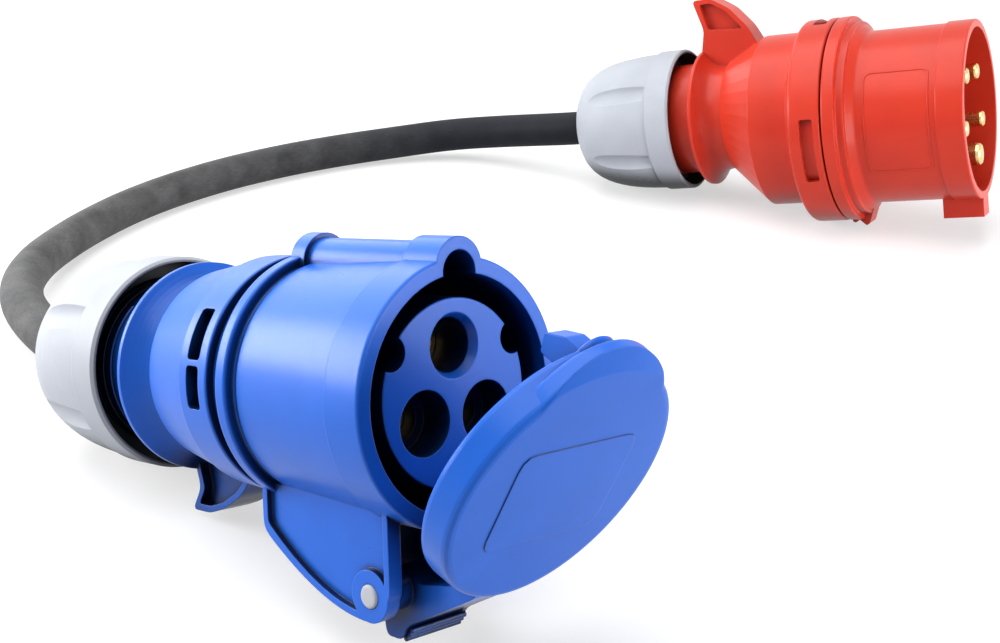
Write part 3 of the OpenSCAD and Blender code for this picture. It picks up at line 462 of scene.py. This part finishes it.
def tube_mesh(name, line, radius, sides):
    """Round tube along a line, with closed ends and a map that runs along it; also its length."""
    mesh = bpy.data.meshes.new(name)
    bm = bmesh.new()
    uv = bm.loops.layers.uv.new("along")
    turns = [math.tau * k / sides for k in range(sides)]
    rings, run = [], [0.0]
    for i, at in enumerate(line):
        ahead = (line[min(i + 1, len(line) - 1)] - line[max(i - 1, 0)]).normalized()
        side = Vector((0, 0, 1)).cross(ahead).normalized()
        top = ahead.cross(side)
        if i:
            run.append(run[-1] + (at - line[i - 1]).length)
        rings.append([bm.verts.new(at + radius * (math.cos(a) * side + math.sin(a) * top)) for a in turns])
    for i in range(len(rings) - 1):
        for k in range(sides):
            m = (k + 1) % sides
            face = bm.faces.new((rings[i][k], rings[i][m], rings[i + 1][m], rings[i + 1][k]))
            face.smooth = True
            corners = ((k, i), (k + 1, i), (k + 1, i + 1), (k, i + 1))
            for loop, (u, v) in zip(face.loops, corners):
                loop[uv].uv = (u / sides, run[v] / (math.tau * radius))
    bm.faces.new(list(reversed(rings[0])))
    bm.faces.new(rings[-1])
    bmesh.ops.recalc_face_normals(bm, faces=bm.faces)
    bm.to_mesh(mesh)
    bm.free()
    return mesh, run[-1]


def make_cable():
    line = smooth_line(cable_points(), CABLE_STEPS)
    mesh, length = tube_mesh("cable_sheath", line, CABLE_D / 2 * MM, CABLE_SIDES)
    cable = new_piece("cable_sheath", mesh, "adapter", "cable_rubber")
    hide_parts("cable")


make_cable()


# Threads of the gland necks and grip ribs of the thumb lever, made by node trees

class Grower(Nodes):
    """Geometry tree that takes named sizes and grows a finished mesh."""

    def __init__(self, name, sizes):
        super().__init__(bpy.data.node_groups.new(name, "GeometryNodeTree"))
        sockets = self.tree.interface
        for size, value in sizes.items():
            sockets.new_socket(size, in_out="INPUT", socket_type="NodeSocketFloat").default_value = value
        sockets.new_socket("Geometry", in_out="OUTPUT", socket_type="NodeSocketGeometry")
        self.name = name
        self.sizes = self.add("NodeGroupInput").outputs
        self.end = self.add("NodeGroupOutput").inputs["Geometry"]

    def close(self, geometry, finish):
        """Ends the tree with realised, finished geometry."""
        real = self.add("GeometryNodeRealizeInstances")
        coat = self.add("GeometryNodeSetMaterial", Material=FINISHES[finish])
        self.join(geometry, real.inputs["Geometry"])
        self.join(real.outputs["Geometry"], coat.inputs["Geometry"])
        self.join(coat.outputs["Geometry"], self.end)

    def mesh(self, place):
        """The grown result as a plain mesh in its place."""
        holder = bpy.data.objects.new(self.name, bpy.data.meshes.new(self.name))
        bpy.context.collection.objects.link(holder)
        modifier = holder.modifiers.new(self.name, "NODES")
        modifier.node_group = self.tree
        for item in self.tree.interface.items_tree:
            if item.in_out == "INPUT":
                modifier[item.identifier] = item.default_value
        graph = bpy.context.evaluated_depsgraph_get()
        mesh = bpy.data.meshes.new_from_object(holder.evaluated_get(graph))
        bpy.data.objects.remove(holder)
        mesh.transform(place)
        mesh.name = self.name
        return mesh


def make_thread(name, gland, finish):
    """Round ridge wound along a neck."""
    run = NECK_LEN - THREAD_START - THREAD_STOP
    g = Grower(
        name,
        {
            "Radius": NECK_R + THREAD_RISE - THREAD_R,
            "Length": run,
            "Turns": run / THREAD_PITCH,
            "Ridge": THREAD_R,
        },
    )
    spiral = g.add("GeometryNodeCurveSpiral", Resolution=THREAD_STEPS)
    g.join(g.sizes["Radius"], spiral.inputs["Start Radius"])
    g.join(g.sizes["Radius"], spiral.inputs["End Radius"])
    g.join(g.sizes["Length"], spiral.inputs["Height"])
    g.join(g.sizes["Turns"], spiral.inputs["Rotations"])
    ridge = g.add("GeometryNodeCurvePrimitiveCircle", Resolution=THREAD_SIDES)
    g.join(g.sizes["Ridge"], ridge.inputs["Radius"])
    wound = g.add("GeometryNodeCurveToMesh", Fill_Caps=True)
    g.join(spiral.outputs["Curve"], wound.inputs["Curve"])
    g.join(ridge.outputs["Curve"], wound.inputs["Profile Curve"])
    smooth = g.add("GeometryNodeSetShadeSmooth")
    g.join(wound.outputs["Mesh"], smooth.inputs["Geometry"])
    g.close(smooth.outputs["Geometry"], finish)
    place = gland @ Matrix.Translation((0, 0, -THREAD_START - run))
    new_piece(name, g.mesh(place), "adapter", finish)


def make_lever_ribs():
    """Row of round ribs across the thumb lever, sunk half into it."""
    g = Grower("lever_ribs", {"Width": 2 * (LEVER_HALF - RIB_INSET), "Step": RIB_STEP, "Rib": RIB_R})
    line = g.add("GeometryNodeMeshLine", Count=RIB_COUNT)
    step = g.add("ShaderNodeCombineXYZ")
    g.join(g.sizes["Step"], step.inputs["Y"])
    g.join(step.outputs["Vector"], line.inputs["Offset"])
    rib = g.add("GeometryNodeMeshCylinder", Vertices=RIB_SIDES)
    g.join(g.sizes["Rib"], rib.inputs["Radius"])
    g.join(g.sizes["Width"], rib.inputs["Depth"])
    lay = g.add("GeometryNodeTransform", Rotation=(0, math.pi / 2, 0))
    g.join(rib.outputs["Mesh"], lay.inputs["Geometry"])
    row = g.add("GeometryNodeInstanceOnPoints")
    g.join(line.outputs["Mesh"], row.inputs["Points"])
    g.join(lay.outputs["Geometry"], row.inputs["Instance"])
    g.close(row.outputs["Instances"], "blue_plastic")
    first = (0, HINGE_Y - LEVER_REACH + RIB_FROM_END, HINGE_Z + RIB_OVER_PIN)
    place = LID @ Matrix.Translation(first) @ Matrix.Rotation(RIB_SLOPE, 4, "X")
    new_piece("lever_ribs", g.mesh(place), "lid", "blue_plastic")


make_thread("socket_neck_thread", SOCKET_GLAND, "blue_plastic")
make_thread("plug_neck_thread", PLUG_GLAND, "red_plastic")
make_lever_ribs()


# Bare label frame on the plug's shroud

def rounded_loop(half_w, half_h, corner):
    """Points of a rounded rectangle round the origin."""
    points = []
    for quarter, (sx, sy) in enumerate(((1, 1), (-1, 1), (-1, -1), (1, -1))):
        for j in range(LABEL_CORNER_STEPS + 1):
            a = math.pi / 2 * (quarter + j / LABEL_CORNER_STEPS)
            x = sx * (half_w - corner) + corner * math.cos(a)
            y = sy * (half_h - corner) + corner * math.sin(a)
            points.append((x, y))
    return points


def fine_loop(points, longest):
    """The same loop with long sides cut up, so that it can follow a round wall."""
    fine = []
    for i, (x, y) in enumerate(points):
        nx, ny = points[(i + 1) % len(points)]
        cuts = max(1, math.ceil(math.hypot(nx - x, ny - y) / longest))
        fine += [(x + (nx - x) * j / cuts, y + (ny - y) * j / cuts) for j in range(cuts)]
    return fine


def make_label_frame():
    """Thin raised line round a rectangle on the shroud's wall; arcs are measured along the wall."""
    middle = (LABEL_FRONT + LABEL_BACK) / 2
    half_len = (LABEL_FRONT - LABEL_BACK) / 2
    half_arc = LABEL_ARC / 2
    outer = fine_loop(rounded_loop(half_arc, half_len, LABEL_CORNER), LABEL_CUT)
    inner = [(x * (1 - LABEL_LINE / half_arc), y * (1 - LABEL_LINE / half_len)) for x, y in outer]
    sunk, proud = SHROUD_R - LABEL_SUNK, SHROUD_R + LABEL_RISE

    def on_wall(point, r):
        turn = math.radians(LABEL_ANGLE) + point[0] / SHROUD_R
        return PLUG @ Vector((-r * math.sin(turn), r * math.cos(turn), middle + point[1]))

    bm = bmesh.new()
    tracks = [(outer, sunk), (outer, proud), (inner, proud), (inner, sunk)]
    rings = [[bm.verts.new(on_wall(p, r)) for p in loop] for loop, r in tracks]
    for a, b in zip(rings, rings[1:] + rings[:1]):
        for k in range(len(outer)):
            m = (k + 1) % len(outer)
            bm.faces.new((a[k], a[m], b[m], b[k]))
    bmesh.ops.recalc_face_normals(bm, faces=bm.faces)
    mesh = bpy.data.meshes.new("label_frame")
    bm.to_mesh(mesh)
    bm.free()
    new_piece("label_frame", mesh, "adapter", "red_plastic")


make_label_frame()


# Floor, light and background

def pale_floor():
    """Pale grey floor, lifted towards white where it is seen: a little by the part, wholly far from it."""
    m = Finish("pale_floor")
    m.set(Base_Color=FLOOR_COLOUR, Roughness=0.9, Specular_IOR_Level=0.1, Emission_Color=WHITE)
    away = m.add("ShaderNodeVectorMath", operation="LENGTH")
    m.join(m.coords(), away.inputs[0])
    lift = m.remap(away.outputs["Value"], (FLOOR_NEAR, FLOOR_FAR), (FLOOR_LIFT, 1.0), smooth=True)
    m.feed("Emission Strength", m.combine("MULTIPLY", lift, m.seen_rays()))
    return m.material


def make_floor():
    corners = [(x * FLOOR_HALF, y * FLOOR_HALF, 0) for x, y in ((-1, -1), (1, -1), (1, 1), (-1, 1))]
    mesh = bpy.data.meshes.new("floor")
    mesh.from_pydata(corners, [], [(0, 1, 2, 3)])
    mesh.materials.append(pale_floor())
    floor = bpy.data.objects.new("floor", mesh)
    bpy.context.collection.objects.link(floor)


def make_world():
    """White room as it is seen, and a weak even light as it falls on the part."""
    world = bpy.data.worlds.new("white_studio")
    world.use_nodes = True
    w = Nodes(world.node_tree)
    back = w.tree.nodes["Background"]
    back.inputs["Color"].default_value = WHITE
    w.join(w.remap(w.seen_rays(), (0, 1), (WORLD_FILL, 1.0)), back.inputs["Strength"])
    bpy.context.scene.world = world


def make_light(name, at, aim, width, height, power, soft, gleam, beam):
    data = bpy.data.lights.new(name, "AREA")
    data.shape = "RECTANGLE"
    data.size = width
    data.size_y = height
    data.energy = power
    data.spread = math.radians(beam)
    lamp = bpy.data.objects.new(name, data)
    lamp.location = at
    lamp.rotation_euler = (Vector(aim) - Vector(at)).to_track_quat("-Z", "Y").to_euler()
    lamp.visible_diffuse = soft
    lamp.visible_glossy = gleam
    bpy.context.collection.objects.link(lamp)


make_floor()
make_world()
for light, setting in SOFTBOXES.items():
    make_light(light, *setting)
bpy.context.scene.view_settings.view_transform = "Standard"
